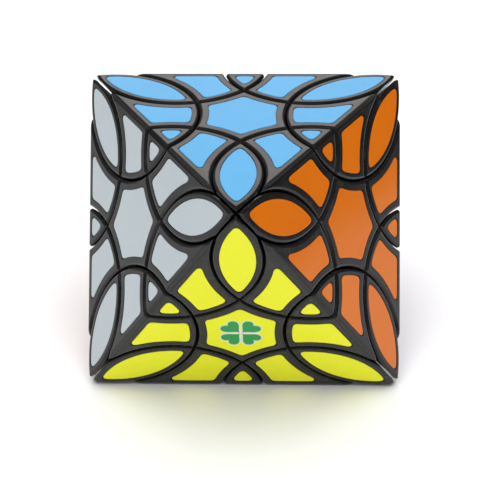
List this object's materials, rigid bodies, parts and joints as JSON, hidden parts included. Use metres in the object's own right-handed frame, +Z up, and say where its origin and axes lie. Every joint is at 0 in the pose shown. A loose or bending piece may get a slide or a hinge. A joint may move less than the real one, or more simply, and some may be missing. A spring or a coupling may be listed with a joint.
{
  "type": "octahedral twisty puzzle",
  "caption": "Eight-sided twisty puzzle with ball-shaped cuts, leaf-shaped petals round every corner, star-shaped face centres and coloured stickers; its layers turn about tilted axes.",
  "frame": {"origin": "middle of the face that it rests on, at the bottom", "axes": "+Z up; +Y points to the back, away from the upper corner that faces the front; +X to the right"},
  "size_m": [0.0892, 0.1016, 0.0735],
  "materials": {
    "black_plastic": "moulded black plastic, semi-gloss, rounded edges",
    "core_plastic": "plain moulded nylon",
    "screw_steel": "zinc-plated",
    "spring_steel": "bright drawn wire",
    "washer_steel": "stamped and plated",
    "sticker_blue": "smooth vinyl film",
    "sticker_grey": "smooth vinyl film",
    "sticker_orange": "smooth vinyl film",
    "sticker_yellow": "smooth vinyl film",
    "sticker_white": "smooth vinyl film",
    "sticker_red": "smooth vinyl film",
    "sticker_purple": "smooth vinyl film",
    "sticker_green": "smooth vinyl film"
  },
  "bodies": {
    "frame": {"core": "core_plastic", "arm_screws": "screw_steel", "arm_springs": "spring_steel", "arm_washers": "washer_steel", "centre_screws": "screw_steel", "face_centres": "black_plastic", "face_centre_covers": "black_plastic", "face_centre_stickers": "sticker_blue", "fixed_arms": "black_plastic", "fixed_arm_covers": "black_plastic", "fixed_arm_stickers": "sticker_orange"},
    "layer_top_front_to_top_right": {"arm_top_front_to_top_right": "black_plastic", "petals_top_front_to_top_right": "black_plastic", "edge_middle_top_front_to_top_right": "black_plastic", "stickers_top_front_to_top_right": "sticker_blue"},
    "layer_top_front_to_low_left": {"arm_top_front_to_low_left": "black_plastic", "petals_top_front_to_low_left": "black_plastic", "edge_middle_top_front_to_low_left": "black_plastic", "stickers_top_front_to_low_left": "sticker_grey"},
    "layer_top_right_to_top_left": {"arm_top_right_to_top_left": "black_plastic", "petals_top_right_to_top_left": "black_plastic", "edge_middle_top_right_to_top_left": "black_plastic", "stickers_top_right_to_top_left": "sticker_white"},
    "layer_top_right_to_low_right": {"arm_top_right_to_low_right": "black_plastic", "petals_top_right_to_low_right": "black_plastic", "edge_middle_top_right_to_low_right": "black_plastic", "stickers_top_right_to_low_right": "sticker_orange"},
    "layer_top_left_to_top_front": {"arm_top_left_to_top_front": "black_plastic", "petals_top_left_to_top_front": "black_plastic", "edge_middle_top_left_to_top_front": "black_plastic", "stickers_top_left_to_top_front": "sticker_blue"},
    "layer_top_left_to_low_back": {"arm_top_left_to_low_back": "black_plastic", "petals_top_left_to_low_back": "black_plastic", "edge_middle_top_left_to_low_back": "black_plastic", "stickers_top_left_to_low_back": "sticker_red"},
    "layer_low_back_to_top_right": {"arm_low_back_to_top_right": "black_plastic", "petals_low_back_to_top_right": "black_plastic", "edge_middle_low_back_to_top_right": "black_plastic", "stickers_low_back_to_top_right": "sticker_purple"},
    "layer_low_back_to_low_left": {"arm_low_back_to_low_left": "black_plastic", "petals_low_back_to_low_left": "black_plastic", "edge_middle_low_back_to_low_left": "black_plastic", "stickers_low_back_to_low_left": "sticker_green"},
    "layer_low_left_to_top_left": {"arm_low_left_to_top_left": "black_plastic", "petals_low_left_to_top_left": "black_plastic", "edge_middle_low_left_to_top_left": "black_plastic", "stickers_low_left_to_top_left": "sticker_grey"},
    "layer_low_left_to_low_right": {"arm_low_left_to_low_right": "black_plastic", "petals_low_left_to_low_right": "black_plastic", "edge_middle_low_left_to_low_right": "black_plastic", "stickers_low_left_to_low_right": "sticker_yellow"},
    "layer_low_right_to_top_front": {"arm_low_right_to_top_front": "black_plastic", "petals_low_right_to_top_front": "black_plastic", "edge_middle_low_right_to_top_front": "black_plastic", "stickers_low_right_to_top_front": "sticker_orange"},
    "layer_low_right_to_low_back": {"arm_low_right_to_low_back": "black_plastic", "petals_low_right_to_low_back": "black_plastic", "edge_middle_low_right_to_low_back": "black_plastic", "stickers_low_right_to_low_back": "sticker_purple"}
  },
  "joints": [
    {"name": "turn_top_front_to_top_right", "type": "hinge", "parent": "frame", "child": "layer_top_front_to_top_right", "pos_m": [0, 0, 0.03674], "axis": [0.3162, -0.5477, 0.7746], "continuous": true},
    {"name": "turn_top_front_to_low_left", "type": "hinge", "parent": "frame", "child": "layer_top_front_to_low_left", "pos_m": [0, 0, 0.03674], "axis": [-0.3162, -0.9129, 0.2582], "continuous": true},
    {"name": "turn_top_right_to_top_left", "type": "hinge", "parent": "frame", "child": "layer_top_right_to_top_left", "pos_m": [0, 0, 0.03674], "axis": [0.3162, 0.5477, 0.7746], "continuous": true},
    {"name": "turn_top_right_to_low_right", "type": "hinge", "parent": "frame", "child": "layer_top_right_to_low_right", "pos_m": [0, 0, 0.03674], "axis": [0.9487, 0.1826, 0.2582], "continuous": true},
    {"name": "turn_top_left_to_top_front", "type": "hinge", "parent": "frame", "child": "layer_top_left_to_top_front", "pos_m": [0, 0, 0.03674], "axis": [-0.6325, 0, 0.7746], "continuous": true},
    {"name": "turn_top_left_to_low_back", "type": "hinge", "parent": "frame", "child": "layer_top_left_to_low_back", "pos_m": [0, 0, 0.03674], "axis": [-0.6325, 0.7303, 0.2582], "continuous": true},
    {"name": "turn_low_back_to_top_right", "type": "hinge", "parent": "frame", "child": "layer_low_back_to_top_right", "pos_m": [0, 0, 0.03674], "axis": [0.3162, 0.9129, -0.2582], "continuous": true},
    {"name": "turn_low_back_to_low_left", "type": "hinge", "parent": "frame", "child": "layer_low_back_to_low_left", "pos_m": [0, 0, 0.03674], "axis": [-0.3162, 0.5477, -0.7746], "continuous": true},
    {"name": "turn_low_left_to_top_left", "type": "hinge", "parent": "frame", "child": "layer_low_left_to_top_left", "pos_m": [0, 0, 0.03674], "axis": [-0.9487, -0.1826, -0.2582], "continuous": true},
    {"name": "turn_low_left_to_low_right", "type": "hinge", "parent": "frame", "child": "layer_low_left_to_low_right", "pos_m": [0, 0, 0.03674], "axis": [-0.3162, -0.5477, -0.7746], "continuous": true},
    {"name": "turn_low_right_to_top_front", "type": "hinge", "parent": "frame", "child": "layer_low_right_to_top_front", "pos_m": [0, 0, 0.03674], "axis": [0.6325, -0.7303, -0.2582], "continuous": true},
    {"name": "turn_low_right_to_low_back", "type": "hinge", "parent": "frame", "child": "layer_low_right_to_low_back", "pos_m": [0, 0, 0.03674], "axis": [0.6325, 0, -0.7746], "continuous": true}
  ]
}
